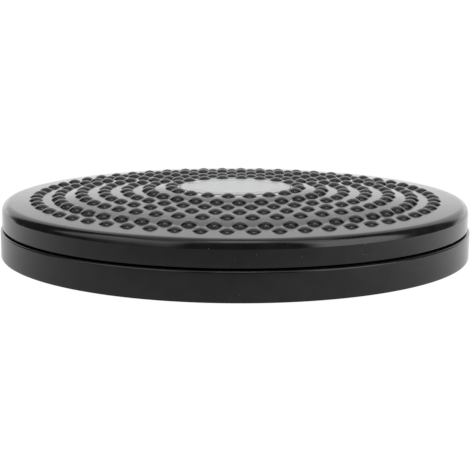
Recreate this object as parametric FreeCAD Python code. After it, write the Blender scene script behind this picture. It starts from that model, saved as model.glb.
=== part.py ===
"""Waist twisting disc: a ribbed base, a bumped platform and the ball bearing between them.

Millimetres, +Z up. The origin is where the disc's axis meets the floor, and the platform spins about +Z.
"""
import FreeCAD, Part
import math
import os

# Driving sizes
base_radius = 140.0
base_height = 16.4
turning_gap = 1.1
platform_inset = 1.2
land_height = 31.85
wall = 3.0
rib_wall = 2.0
cut_overrun = 5.0

# Clearances
seat_clearance = 0.05
running_clearance = 0.05
axial_clearance = 0.3
loose_clearance = 0.2

# Base moulding
base_lift = 0.5
base_lower_edge = 0.4
base_upper_edge = 1.0
base_lip_depth = 3.0
base_rib_lift = 2.0
base_rib_count = 16
base_ring_count = 5
guard_ring_gap = 2.9
guard_ring_wall = 2.0
guard_ring_height = 7.3
base_hub_margin = 2.0
base_hub_rise = 2.0
base_hub_skirt_wall = 5.0

# Rubber feet
foot_count = 8
foot_radius = 9.0
foot_height = 3.0
foot_edge = 0.6
foot_socket_depth = 1.0
foot_pad_margin = 2.0
foot_from_rim = 16.0

# Ball bearing
ball_radius = 4.0
ball_count = 36
track_radius = 86.0
race_width = 20.0
race_thickness = 3.0
race_floor = 1.2
race_screw_offset = 7.4
race_screw_count = 6
cage_width = 13.0
cage_thickness = 2.0

# Race screws
screw_radius = 1.45
screw_length = 8.0
screw_head_radius = 2.7
screw_head_height = 1.5
screw_slot_length = 3.2
screw_slot_width = 0.7
screw_slot_depth = 0.8
screw_boss_radius = 4.0

# Centre bolt stack
bolt_radius = 4.0
bolt_end_stand = 0.2
bolt_head_flats = 13.0
bolt_head_height = 5.3
bolt_washer_margin = 1.0
bolt_washer_thickness = 1.6
pocket_clearance = 1.5
pocket_roof = 5.8
cap_thickness = 1.2
cap_skirt_height = 2.4
cap_skirt_wall = 1.0
sleeve_wall = 2.9
thrust_washer_margin = 1.0
thrust_washer_thickness = 1.2
bush_wall = 3.0
bush_flange_margin = 0.2
bush_flange_thickness = 1.0
retaining_washer_radius = 13.0
retaining_washer_thickness = 1.6
spring_washer_radius = 6.7
spring_washer_thickness = 1.6
spring_washer_split = 1.0
nut_flats = 13.0
nut_height = 6.4
nut_roof_gap = 0.6

# Platform moulding
platform_lower_edge = 0.5
shoulder_radius = 4.5
shoulder_turn_degrees = 76.0
shoulder_straight = 1.43
crown_slope_degrees = 1.95
step_crease_margin = 1.67
step_top_inset = 4.66
step_rise = 1.75
centre_crease_margin = 1.0
centre_top_margin = 3.82
centre_rise = 0.97
nut_recess_margin = 1.3
hub_wall = 3.5
platform_rib_count = 12
platform_ring_count = 4

# Massage bumps
bump_counts = (56, 50, 44, 38, 32, 26, 20)
bump_edge_margin = 19.9
bump_badge_margin = 5.28
bump_base_radius = 4.3
bump_height = 1.8
bump_root = 1.2
bump_seat_inset = 2.0
bump_phase_degrees = 30.2

# Badge plate
badge_radius = 33.4
badge_thickness = 0.8
badge_stand = 0.1
badge_rim_inset = 5.8
badge_rim_width = 1.2
badge_rim_height = 0.2

# Places worked out from the sizes
platform_radius = base_radius - platform_inset
platform_bottom = base_height + turning_gap
skirt_inner = platform_radius - wall
deck_top = base_height - base_lip_depth
deck_bottom = deck_top - wall
base_wall_inner = base_radius - wall
guard_outer = skirt_inner - guard_ring_gap
guard_inner = guard_outer - guard_ring_wall
foot_circle = base_radius - foot_from_rim
foot_pad_radius = foot_radius + foot_pad_margin
socket_roof = foot_height
foot_pad_bottom = foot_height - foot_socket_depth

race_inner = track_radius - race_width / 2
race_outer = track_radius + race_width / 2
race_screw_circle = track_radius + race_screw_offset
groove_radius = ball_radius + running_clearance
lower_race_bottom = deck_top
lower_race_top = lower_race_bottom + race_thickness
ball_centre = lower_race_bottom + race_floor + groove_radius
upper_race_top = ball_centre + groove_radius + race_floor
upper_race_bottom = upper_race_top - race_thickness
screw_bore_radius = screw_radius + seat_clearance

outer_bump_circle = platform_radius - bump_edge_margin
inner_bump_circle = badge_radius + bump_badge_margin
bump_pitch = (outer_bump_circle - inner_bump_circle) / (len(bump_counts) - 1)
bump_radii = [outer_bump_circle - row * bump_pitch for row in range(len(bump_counts))]
step_crease_radius = bump_radii[1] + step_crease_margin
step_top_radius = bump_radii[2] - step_top_inset
centre_crease_radius = bump_radii[5] + centre_crease_margin
centre_top_radius = bump_radii[6] + centre_top_margin
crown_slope = math.radians(crown_slope_degrees)
shoulder_turn = math.radians(shoulder_turn_degrees)
shoulder_run = shoulder_radius * (math.sin(shoulder_turn) - math.sin(crown_slope))
shoulder_fall = shoulder_radius * (math.cos(crown_slope) - math.cos(shoulder_turn))
shoulder_start_radius = platform_radius - shoulder_straight * math.cos(shoulder_turn)
land_edge_radius = shoulder_start_radius - shoulder_run
cone_rise = (land_edge_radius - badge_radius) * math.tan(crown_slope)
centre_height = land_height + cone_rise + step_rise + centre_rise
badge_bore = badge_radius + loose_clearance
badge_floor = centre_height + badge_stand - badge_thickness

nut_bottom = badge_floor - nut_roof_gap - nut_height
bolt_end = nut_bottom + nut_height + bolt_end_stand
spring_washer_bottom = nut_bottom - spring_washer_thickness
retaining_washer_bottom = spring_washer_bottom - retaining_washer_thickness
bush_top = retaining_washer_bottom - axial_clearance
flange_seat = bush_top - bush_flange_thickness
bush_flange_radius = retaining_washer_radius + bush_flange_margin
nut_recess_radius = bush_flange_radius + nut_recess_margin
hub_radius = nut_recess_radius + hub_wall

hub_top_of_base = deck_top + base_hub_rise
base_hub_radius = hub_radius + base_hub_margin
bolt_bore_radius = bolt_radius + seat_clearance
pocket_ceiling = hub_top_of_base - pocket_roof
pocket_radius = bolt_head_flats / math.sqrt(3) + pocket_clearance
base_hub_skirt_radius = pocket_radius + base_hub_skirt_wall
washer_bottom = pocket_ceiling - bolt_washer_thickness
bolt_head_bottom = washer_bottom - bolt_head_height
sleeve_outer = bolt_bore_radius + sleeve_wall
bush_inner = sleeve_outer + running_clearance
bush_outer = bush_inner + bush_wall
hub_bore = bush_outer + seat_clearance
hub_bottom = hub_top_of_base + thrust_washer_thickness + loose_clearance


def point(radius, height):
    """The point of a turned outline at a radius and a height."""
    return FreeCAD.Vector(radius, 0, height)


def disc(radius, bottom, top):
    """A solid cylinder on the axis."""
    return Part.makeCylinder(radius, top - bottom, point(0, bottom))


def ring(inner, outer, bottom, top):
    """A flat ring on the axis."""
    return disc(outer, bottom, top).cut(disc(inner, bottom - cut_overrun, top + cut_overrun))


def turned(edges):
    """The solid that a closed outline sweeps in one turn about the axis."""
    face = Part.Face(Part.Wire(edges))
    return face.revolve(FreeCAD.Vector(0, 0, 0), FreeCAD.Vector(0, 0, 1), 360)


def polyline(points):
    """Straight edges from each point to the next."""
    return [Part.makeLine(first, second) for first, second in zip(points, points[1:])]


def corner(start, end, centre, radius, bulge_angle):
    """A rounded edge between two points of a turned outline."""
    angle = math.radians(bulge_angle)
    middle = centre + point(radius * math.cos(angle), radius * math.sin(angle))
    return Part.Arc(start, middle, end).toShape()


def crown_radius(run, rise):
    """The radius of the arc that leaves a step's top and falls by a rise over a run."""
    return (run * run + rise * rise) / (2 * rise)


def crown_height(radius):
    """The height of the platform's top surface at a radius."""
    steps = (
        (step_crease_radius, step_top_radius, step_rise),
        (centre_crease_radius, centre_top_radius, centre_rise),
    )
    inward = land_edge_radius - max(radius, badge_radius)
    height = land_height + inward * math.tan(crown_slope)
    for crease, top, rise in steps:
        arc = crown_radius(crease - top, rise)
        reach = min(max(radius - top, 0), crease - top)
        height = height + rise - arc + math.sqrt(arc * arc - reach * reach)
    return height


def crown_line(outer, inner):
    """The straight part of the crown's outline between two radii."""
    return Part.makeLine(point(outer, crown_height(outer)), point(inner, crown_height(inner)))


def crown_arc(outer, inner):
    """The part of one of the crown's rounded steps that lies between two radii."""
    places = [point(radius, crown_height(radius)) for radius in (outer, (outer + inner) / 2, inner)]
    return Part.Arc(*places).toShape()



def around(shape, radius, count, phase=0.0):
    """Copies of a shape, set out evenly on a circle about the axis."""
    copies = []
    for index in range(count):
        copy = shape.copy()
        copy.translate(FreeCAD.Vector(radius, 0, 0))
        turn = phase + 360 * index / count
        copy.rotate(FreeCAD.Vector(0, 0, 0), FreeCAD.Vector(0, 0, 1), turn)
        copies.append(copy)
    return copies


def hexagon(flats, bottom, height):
    """A hexagonal prism on the axis, by its width across flats."""
    reach = flats / math.sqrt(3)
    angles = [math.radians(60 * side) for side in range(7)]
    corners = [FreeCAD.Vector(reach * math.cos(a), reach * math.sin(a), bottom) for a in angles]
    return Part.Face(Part.makePolygon(corners)).extrude(FreeCAD.Vector(0, 0, height))


def rib_walls(inner, outer, ring_count, rib_count, bottom, top):
    """Upright rings and spokes between two radii, before they are trimmed to their cavity."""
    pitch = (outer - inner) / (ring_count + 1)
    walls = []
    for index in range(1, ring_count + 1):
        middle = inner + index * pitch
        walls.append(ring(middle - rib_wall / 2, middle + rib_wall / 2, bottom, top))
    overlap = rib_wall / 2
    spoke = Part.makeBox(
        outer - inner + overlap * 2,
        rib_wall,
        top - bottom,
        FreeCAD.Vector(inner - overlap, -rib_wall / 2, bottom),
    )
    return walls + around(spoke, 0, rib_count)


def screw_places(shape, phase):
    """Copies of a screw-sized shape at the race's screw places."""
    return around(shape, race_screw_circle, race_screw_count, phase)


def countersunk(radius, head_radius, head_height, length):
    """A countersunk form on the axis, its flat top at height zero and its shank below."""
    shank = disc(radius, -length, 0)
    head = Part.makeCone(radius, head_radius, head_height, point(0, -head_height))
    return shank.fuse(head)


def race_screw():
    """One countersunk screw with a cross slot, its flat top at height zero."""
    screw = countersunk(screw_radius, screw_head_radius, screw_head_height, screw_length)
    slot = Part.makeBox(
        screw_slot_length,
        screw_slot_width,
        screw_slot_depth * 2,
        FreeCAD.Vector(-screw_slot_length / 2, -screw_slot_width / 2, -screw_slot_depth),
    )
    cross = slot.copy()
    cross.rotate(FreeCAD.Vector(0, 0, 0), FreeCAD.Vector(0, 0, 1), 90)
    return screw.cut([slot, cross])


def race_screw_hole():
    """The hole in a race that takes one countersunk screw."""
    return countersunk(
        screw_bore_radius, screw_head_radius + seat_clearance, screw_head_height, screw_length
    )


def turned_over(shapes):
    """Shapes turned upside down about the X axis."""
    for shape in shapes:
        shape.rotate(FreeCAD.Vector(0, 0, 0), FreeCAD.Vector(1, 0, 0), 180)
    return shapes


def raised(shapes, height):
    """Shapes moved up by a height."""
    for shape in shapes:
        shape.translate(FreeCAD.Vector(0, 0, height))
    return shapes


def base_housing():
    """The base: deck, outer wall with its lip, guard ring, hub boss, ribs and foot pads."""
    lower = base_lower_edge
    upper = base_upper_edge
    low_start = point(base_radius - lower, base_lift)
    low_end = point(base_radius, base_lift + lower)
    high_start = point(base_radius, base_height - upper)
    high_end = point(base_radius - upper, base_height)
    inside = [
        high_end,
        point(base_wall_inner, base_height),
        point(base_wall_inner, deck_top),
        point(guard_outer, deck_top),
        point(guard_outer, deck_top + guard_ring_height),
        point(guard_inner, deck_top + guard_ring_height),
        point(guard_inner, deck_top),
        point(base_hub_radius, deck_top),
        point(base_hub_radius, hub_top_of_base),
        point(bolt_bore_radius, hub_top_of_base),
        point(bolt_bore_radius, pocket_ceiling),
        point(pocket_radius, pocket_ceiling),
        point(pocket_radius, base_rib_lift),
        point(base_hub_skirt_radius, base_rib_lift),
        point(base_hub_skirt_radius, deck_bottom),
        point(base_wall_inner, deck_bottom),
        point(base_wall_inner, base_lift),
        low_start,
    ]
    edges = [
        corner(low_start, low_end, point(base_radius - lower, base_lift + lower), lower, -45),
        Part.makeLine(low_end, high_start),
        corner(high_start, high_end, point(base_radius - upper, base_height - upper), upper, 45),
    ]
    body = turned(edges + polyline(inside))
    rib_top = deck_bottom + wall / 2
    ribs = rib_walls(
        base_hub_skirt_radius, base_wall_inner, base_ring_count, base_rib_count, base_rib_lift, rib_top
    )
    pad = disc(foot_pad_radius, foot_pad_bottom, rib_top)
    pads = around(pad, foot_circle, foot_count, foot_phase())
    boss = disc(screw_boss_radius, deck_top - screw_length, rib_top)
    body = body.fuse(ribs + pads + screw_places(boss, race_screw_phase()))
    socket = disc(foot_radius + seat_clearance, foot_pad_bottom - cut_overrun, socket_roof)
    sockets = around(socket, foot_circle, foot_count, foot_phase())
    holes = raised(screw_places(race_screw_hole(), race_screw_phase()), lower_race_top)
    return body.cut(sockets + holes)


def foot_phase():
    """The turn, in degrees, that sets each foot midway between two spokes of the base."""
    return 180 / base_rib_count


def race_screw_phase():
    """The turn, in degrees, of the first race screw."""
    return 180 / platform_rib_count


def rubber_feet():
    """The round feet, each pushed into its socket."""
    foot = disc(foot_radius, 0, foot_height)
    lower_edges = [edge for edge in foot.Edges if abs(edge.CenterOfMass.z) < foot_edge / 2]
    foot = foot.makeChamfer(foot_edge, lower_edges)
    return around(foot, foot_circle, foot_count, foot_phase())


def race(bottom):
    """A flat steel ring, before its groove and holes are cut."""
    return ring(race_inner, race_outer, bottom, bottom + race_thickness)


def groove():
    """The torus that the balls sweep, with the running clearance, which cuts both races."""
    return Part.makeTorus(track_radius, groove_radius, point(0, ball_centre))


def lower_race():
    """The race on the base's deck."""
    holes = raised(screw_places(race_screw_hole(), race_screw_phase()), lower_race_top)
    return race(lower_race_bottom).cut([groove()] + holes)


def upper_race():
    """The race under the platform's ribs."""
    holes = turned_over(screw_places(race_screw_hole(), race_screw_phase()))
    return race(upper_race_bottom).cut([groove()] + raised(holes, upper_race_bottom))


def lower_race_screws():
    """The screws that hold the lower race, their heads up."""
    return raised(screw_places(race_screw(), race_screw_phase()), lower_race_top)


def upper_race_screws():
    """The screws that hold the upper race, their heads down."""
    return raised(turned_over(screw_places(race_screw(), race_screw_phase())), upper_race_bottom)


def ball_cage():
    """The flat ring with a round window for each ball."""
    half_width = cage_width / 2
    half_thickness = cage_thickness / 2
    plate = ring(
        track_radius - half_width,
        track_radius + half_width,
        ball_centre - half_thickness,
        ball_centre + half_thickness,
    )
    window_radius = ball_radius + loose_clearance
    window = disc(window_radius, ball_centre - cage_thickness, ball_centre + cage_thickness)
    return plate.cut(around(window, track_radius, ball_count))


def bearing_balls():
    """The steel balls, one in each window of the cage."""
    ball = Part.makeSphere(ball_radius, point(0, ball_centre))
    return around(ball, track_radius, ball_count)


def centre_bolt():
    """The hexagon-head bolt, its head in the base's pocket."""
    head = hexagon(bolt_head_flats, bolt_head_bottom, bolt_head_height)
    return head.fuse(disc(bolt_radius, bolt_head_bottom + bolt_head_height / 2, bolt_end))


def bolt_washer():
    """The plain washer between the bolt's head and the pocket's ceiling."""
    return ring(bolt_bore_radius, pocket_radius - bolt_washer_margin, washer_bottom, pocket_ceiling)


def underside_cap():
    """The plug that closes the bolt's pocket, with a short skirt that grips the pocket's wall."""
    grip = pocket_radius - seat_clearance
    plate = disc(base_hub_skirt_radius, base_rib_lift - cap_thickness, base_rib_lift)
    skirt_bottom = base_rib_lift - cap_thickness / 2
    skirt = ring(grip - cap_skirt_wall, grip, skirt_bottom, base_rib_lift + cap_skirt_height)
    return plate.fuse(skirt)


def spacer_sleeve():
    """The steel tube round the bolt, from the base's hub up to the retaining washer."""
    return ring(bolt_bore_radius, sleeve_outer, hub_top_of_base, retaining_washer_bottom)


def thrust_washer():
    """The plastic washer on the base's hub, under the platform's hub."""
    top = hub_top_of_base + thrust_washer_thickness
    outer = hub_radius - thrust_washer_margin
    return ring(sleeve_outer + running_clearance, outer, hub_top_of_base, top)


def retaining_washer():
    """The large washer over the bush, which keeps the platform down."""
    bottom = retaining_washer_bottom
    return ring(bolt_bore_radius, retaining_washer_radius, bottom, spring_washer_bottom)


def spring_washer():
    """The split washer under the nut."""
    washer = ring(bolt_bore_radius, spring_washer_radius, spring_washer_bottom, nut_bottom)
    split = Part.makeBox(
        spring_washer_radius * 2,
        spring_washer_split,
        spring_washer_thickness + cut_overrun * 2,
        FreeCAD.Vector(0, -spring_washer_split / 2, spring_washer_bottom - cut_overrun),
    )
    return washer.cut(split)


def lock_nut():
    """The nut on the bolt's upper end."""
    bore = disc(bolt_bore_radius, nut_bottom - cut_overrun, nut_bottom + nut_height + cut_overrun)
    return hexagon(nut_flats, nut_bottom, nut_height).cut(bore)


def hub_bush():
    """The flanged plain bush in the platform's hub, which turns on the sleeve."""
    tube = ring(bush_inner, bush_outer, hub_bottom, bush_top)
    return tube.fuse(ring(bush_inner, bush_flange_radius, flange_seat, bush_top))


def platform_underside():
    """The underside of the platform's deck, from the hub out to the skirt."""
    under_steps = [centre_top_radius, centre_crease_radius, step_top_radius, step_crease_radius]
    radii = [hub_radius, badge_radius] + under_steps + [skirt_inner - wall]
    roof = [point(radius, crown_height(radius) - wall) for radius in radii]
    return roof + [point(skirt_inner, land_height - wall - wall)]


def platform_body():
    """The platform's turned form: coned crown, shoulder, skirt, hub and the badge's recess."""
    lower = platform_lower_edge
    skirt_start = point(platform_radius - lower, platform_bottom)
    skirt_end = point(platform_radius, platform_bottom + lower)
    skirt_centre = point(platform_radius - lower, platform_bottom + lower)
    shoulder_start = point(shoulder_start_radius, land_height - shoulder_fall)
    shoulder_end = point(land_edge_radius, land_height)
    centre_inset = shoulder_radius * math.sin(crown_slope)
    centre_drop = shoulder_radius * math.cos(crown_slope)
    shoulder_centre = shoulder_end - point(centre_inset, centre_drop)
    crease = point(platform_radius, shoulder_start.z - shoulder_straight * math.sin(shoulder_turn))
    shoulder_middle_degrees = 90 - (shoulder_turn_degrees + crown_slope_degrees) / 2
    outside = [
        corner(skirt_start, skirt_end, skirt_centre, lower, -45),
        Part.makeLine(skirt_end, crease),
        Part.makeLine(crease, shoulder_start),
        corner(shoulder_start, shoulder_end, shoulder_centre, shoulder_radius, shoulder_middle_degrees),
        crown_line(land_edge_radius, step_crease_radius),
        crown_arc(step_crease_radius, step_top_radius),
        crown_line(step_top_radius, centre_crease_radius),
        crown_arc(centre_crease_radius, centre_top_radius),
        crown_line(centre_top_radius, badge_bore),
    ]
    inside = [
        point(badge_bore, crown_height(badge_bore)),
        point(badge_bore, badge_floor),
        point(nut_recess_radius, badge_floor),
        point(nut_recess_radius, flange_seat),
        point(hub_bore, flange_seat),
        point(hub_bore, hub_bottom),
        point(hub_radius, hub_bottom),
    ]
    closing = platform_underside() + [point(skirt_inner, platform_bottom), skirt_start]
    return turned(outside + polyline(inside + closing))


def platform_ribs():
    """The rings, spokes and screw bosses under the deck, level with the upper race's seat."""
    roof = [vertex + point(0, wall / 2) for vertex in platform_underside()]
    walls = rib_walls(
        hub_radius, skirt_inner, platform_ring_count, platform_rib_count, upper_race_top, centre_height
    )
    seats = [
        ring(race_inner, race_inner + rib_wall, upper_race_top, centre_height),
        ring(race_outer - rib_wall, race_outer, upper_race_top, centre_height),
    ]
    bosses = screw_places(disc(screw_boss_radius, upper_race_top, centre_height), race_screw_phase())
    outer = skirt_inner + wall / 2
    inner = hub_radius - rib_wall / 2
    ends = [point(outer, roof[-1].z), point(outer, platform_bottom)]
    outline = [point(inner, platform_bottom), point(inner, roof[0].z)] + roof + ends
    cavity = turned(polyline(outline + outline[:1]))
    return walls[0].fuse(walls[1:] + seats + bosses).common(cavity)


def bump(seat):
    """One massage bump at the axis: a low dome whose root is buried in the deck."""
    sphere = (bump_base_radius ** 2 + bump_height ** 2) / (2 * bump_height)
    ball = Part.makeSphere(sphere, point(0, seat + bump_height - sphere))
    return ball.common(disc(sphere, seat - bump_root, seat + bump_height * 2))


def platform_bumps():
    """All rings of bumps, each seated at the crown's height a little inside its circle."""
    bumps = []
    for radius, count in zip(bump_radii, bump_counts):
        shape = bump(crown_height(radius - bump_seat_inset))
        bumps.extend(around(shape, radius, count, bump_phase_degrees - 90))
    return bumps


def platform_shell():
    """The turning platform's moulding, with its ribs, bumps and screw holes."""
    holes = turned_over(screw_places(race_screw_hole(), race_screw_phase()))
    body = platform_body().fuse(platform_ribs()).cut(raised(holes, upper_race_bottom))
    return body.fuse(platform_bumps())


def badge_plate():
    """The bare metal plate at the centre, with a fine raised rim line."""
    top = badge_floor + badge_thickness
    rim_outer = badge_radius - badge_rim_inset
    rim = ring(rim_outer - badge_rim_width, rim_outer, top - badge_thickness / 2, top + badge_rim_height)
    return disc(badge_radius, badge_floor, top).fuse(rim)


def solids_of(shape):
    """The shape's solids, with faces that split one surface joined again."""
    shapes = shape if isinstance(shape, list) else [shape.removeSplitter()]
    return [solid for item in shapes for solid in item.Solids]


def write_parts():
    """Write one STEP file for each piece, and print its solids and volume."""
    os.makedirs("parts", exist_ok=True)
    pieces = (
        base_housing, rubber_feet, lower_race, lower_race_screws, centre_bolt, bolt_washer,
        underside_cap, spacer_sleeve, thrust_washer, retaining_washer, spring_washer, lock_nut,
        platform_shell, badge_plate, hub_bush, upper_race, upper_race_screws, ball_cage, bearing_balls,
    )
    for piece in pieces:
        solids = solids_of(piece())
        node = piece.__name__
        shape = solids[0] if len(solids) == 1 else Part.makeCompound(solids)
        shape.exportStep(f"parts/{node}.step")
        valid = all(solid.isValid() for solid in solids)
        print(f"{node}: {len(solids)} solids, {shape.Volume:.1f} mm3, valid {valid}")


write_parts()
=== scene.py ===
"""The looks of a waist twisting disc: its mouldings, massage bumps, badge, rubber feet and studio.

Metres, +Z up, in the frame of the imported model. The disc's axis is Z and the floor is at zero.
"""
import logging
import math
from dataclasses import dataclass, field
from enum import Enum

import bmesh
import bpy
from mathutils import Matrix, Vector


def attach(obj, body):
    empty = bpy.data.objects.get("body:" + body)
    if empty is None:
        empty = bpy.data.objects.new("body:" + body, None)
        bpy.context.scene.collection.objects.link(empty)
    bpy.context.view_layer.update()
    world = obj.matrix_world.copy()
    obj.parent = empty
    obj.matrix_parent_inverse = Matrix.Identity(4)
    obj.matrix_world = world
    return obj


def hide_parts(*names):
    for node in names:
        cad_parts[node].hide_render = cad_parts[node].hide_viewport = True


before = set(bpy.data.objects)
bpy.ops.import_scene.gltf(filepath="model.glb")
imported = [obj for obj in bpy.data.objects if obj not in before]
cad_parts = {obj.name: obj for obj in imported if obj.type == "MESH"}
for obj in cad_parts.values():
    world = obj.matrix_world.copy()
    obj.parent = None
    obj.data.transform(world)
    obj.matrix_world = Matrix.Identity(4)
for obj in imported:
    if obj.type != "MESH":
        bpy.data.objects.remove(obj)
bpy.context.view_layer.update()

MM = 0.001
CRISP_ANGLE = math.radians(32.0)
# Faces round middle-sized rings, feet and bosses, and points along a spoke.
RING_FACES = 160
SMALL_RING_FACES = 48
BOSS_FACES = 32
SPOKE_POINTS = 40
# Pieces in a small rounded edge.
EDGE_STEPS = 4
LOG = logging.getLogger("twisting_disc")

Point = tuple[float, float]
Colour = tuple[float, float, float, float]
WHITE: Colour = (1.0, 1.0, 1.0, 1.0)


class Body(Enum):
    """The bodies that the pieces ride on."""

    BASE = "base"
    PLATFORM = "platform"


class Slot(Enum):
    """The record's material slots."""

    GLOSS = "black_gloss_plastic"
    SATIN = "black_satin_plastic"
    RUBBER = "black_rubber"
    RACE = "race_steel"
    ZINC = "zinc_steel"
    BALL = "ball_steel"
    NYLON = "nylon"
    PLATE = "silver_plate"


class Bench:
    """Adds nodes to one tree and joins them by socket."""

    def __init__(self, tree: bpy.types.NodeTree) -> None:
        """Starts work on a tree.

        Args:
            tree: The shader or geometry tree to fill.
        """
        self.tree = tree

    def node(self, kind: str, inputs: dict | None = None, **settings: object) -> bpy.types.Node:
        """Adds one node.

        Args:
            kind: The node's type name.
            inputs: Values or sockets for its inputs, by name or number.
            **settings: The node's own properties.

        Returns:
            The new node.
        """
        made = self.tree.nodes.new(kind)
        for key, value in settings.items():
            setattr(made, key, value)
        for key, value in (inputs or {}).items():
            if isinstance(value, bpy.types.NodeSocket):
                self.tree.links.new(value, made.inputs[key])
            else:
                made.inputs[key].default_value = value
        return made

    def math(
        self, operation: str, first: object, second: object = 0.0, third: object = 0.0
    ) -> bpy.types.NodeSocket:
        """Adds one sum and gives its result.

        Args:
            operation: The name of the operation.
            first: The first value or socket.
            second: The second value or socket.
            third: The third value or socket, where the operation has one.

        Returns:
            The result's socket.
        """
        return self.node("ShaderNodeMath", {0: first, 1: second, 2: third}, operation=operation).outputs[0]

    def split(self, vector: bpy.types.NodeSocket) -> list[bpy.types.NodeSocket]:
        """Gives a vector's three parts.

        Args:
            vector: The vector's socket.

        Returns:
            The sockets of X, Y and Z.
        """
        return list(self.node("ShaderNodeSeparateXYZ", {0: vector}).outputs)

    def joined(self, x: object = 0.0, y: object = 0.0, z: object = 0.0) -> bpy.types.NodeSocket:
        """Gives a vector made of three parts.

        Args:
            x: The first part.
            y: The second part.
            z: The third part.

        Returns:
            The vector's socket.
        """
        return self.node("ShaderNodeCombineXYZ", {0: x, 1: y, 2: z}).outputs[0]

    def spread(
        self, value: object, low: object, high: object, to_low: object = 0.0, to_high: object = 1.0
    ) -> bpy.types.NodeSocket:
        """Maps a value from one range to another with soft ends.

        Args:
            value: The value to map.
            low: The start of its range.
            high: The end of its range.
            to_low: What the start becomes.
            to_high: What the end becomes.

        Returns:
            The mapped value's socket.
        """
        inputs = {"Value": value, "From Min": low, "From Max": high, "To Min": to_low, "To Max": to_high}
        return self.node("ShaderNodeMapRange", inputs, interpolation_type="SMOOTHSTEP").outputs["Result"]

    def blend(self, share: object, first: object, second: object) -> bpy.types.NodeSocket:
        """Mixes two colours.

        Args:
            share: How much of the second colour shows.
            first: The first colour.
            second: The second colour.

        Returns:
            The mixed colour's socket.
        """
        mix = self.node("ShaderNodeMix", {"Factor": share, 6: first, 7: second}, data_type="RGBA")
        return mix.outputs[2]

    def length(self, x: object, y: object) -> bpy.types.NodeSocket:
        """Gives the length of a flat vector.

        Args:
            x: Its first part.
            y: Its second part.

        Returns:
            The length's socket.
        """
        flat = self.joined(x, y)
        return self.node("ShaderNodeVectorMath", {0: flat}, operation="LENGTH").outputs["Value"]

    def place(self) -> bpy.types.NodeSocket:
        """Gives the socket of the place on the piece, in the frame's metres."""
        return self.node("ShaderNodeTexCoord").outputs["Object"]

    def noise(self, place: object, scale: object, detail: float) -> bpy.types.NodeSocket:
        """Adds soft noise.

        Args:
            place: Where it is read.
            scale: How many of its cells fit in a metre of that place.
            detail: How many finer layers it has.

        Returns:
            The noise's socket.
        """
        inputs = {"Vector": place, "Scale": scale, "Detail": detail}
        return self.node("ShaderNodeTexNoise", inputs).outputs[0]

    def spots(self, count: object) -> bpy.types.NodeSocket:
        """Gives points that all lie at the origin, one for each copy of a shape.

        Args:
            count: How many there are.

        Returns:
            The points' socket.
        """
        inputs = {"Count": count, "Offset": (0.0, 0.0, 0.0)}
        return self.node("GeometryNodeMeshLine", inputs).outputs[0]

    def white_to_camera(self, strength: object) -> bpy.types.NodeSocket:
        """Makes a light white where the camera looks at it, and leaves it as it is for the disc.

        Args:
            strength: The light's strength.

        Returns:
            The new strength's socket.
        """
        seen = self.node("ShaderNodeLightPath").outputs["Is Camera Ray"]
        return self.math("MAXIMUM", strength, seen)


def new_tree(
    name: str, kind: str, inputs: dict[str, str], outputs: dict[str, str]
) -> tuple[Bench, dict, dict]:
    """Makes a node group with named sockets.

    Args:
        name: The group's name.
        kind: The tree's type.
        inputs: Socket types by name.
        outputs: Socket types by name.

    Returns:
        Its bench, its input sockets by name and its output node's sockets by name.
    """
    tree = bpy.data.node_groups.new(name, kind)
    for label, socket_type in inputs.items():
        tree.interface.new_socket(label, in_out="INPUT", socket_type=socket_type)
    for label, socket_type in outputs.items():
        tree.interface.new_socket(label, in_out="OUTPUT", socket_type=socket_type)
    bench = Bench(tree)
    entry = tree.nodes.new("NodeGroupInput")
    leaving = tree.nodes.new("NodeGroupOutput")
    return bench, {s.name: s for s in entry.outputs}, {s.name: s for s in leaving.inputs}


FLOAT = "NodeSocketFloat"
WHOLE = "NodeSocketInt"
SHAPE = "NodeSocketGeometry"
FINISH = "NodeSocketMaterial"


@dataclass(frozen=True)
class RoundedStep:
    """One step of the crown, which falls from its top along an arc to a crease.

    Attributes:
        top: The radius where the arc starts to fall.
        run: How far outward the arc goes.
        rise: How much higher the top is than the crease.
    """

    top: float
    run: float
    rise: float

    @property
    def crease(self) -> float:
        """The radius of the crease at the arc's foot."""
        return self.top + self.run

    @property
    def arc(self) -> float:
        """The arc's own radius."""
        return (self.run ** 2 + self.rise ** 2) / (2 * self.rise)

    def height(self, radius: float) -> float:
        """Gives the step's height over its crease.

        Args:
            radius: The distance from the disc's axis.

        Returns:
            The height, from the full rise on the top to zero past the crease.
        """
        reach = min(max(radius - self.top, 0.0), self.run)
        return self.rise - self.arc + math.sqrt(self.arc ** 2 - reach ** 2)


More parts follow.
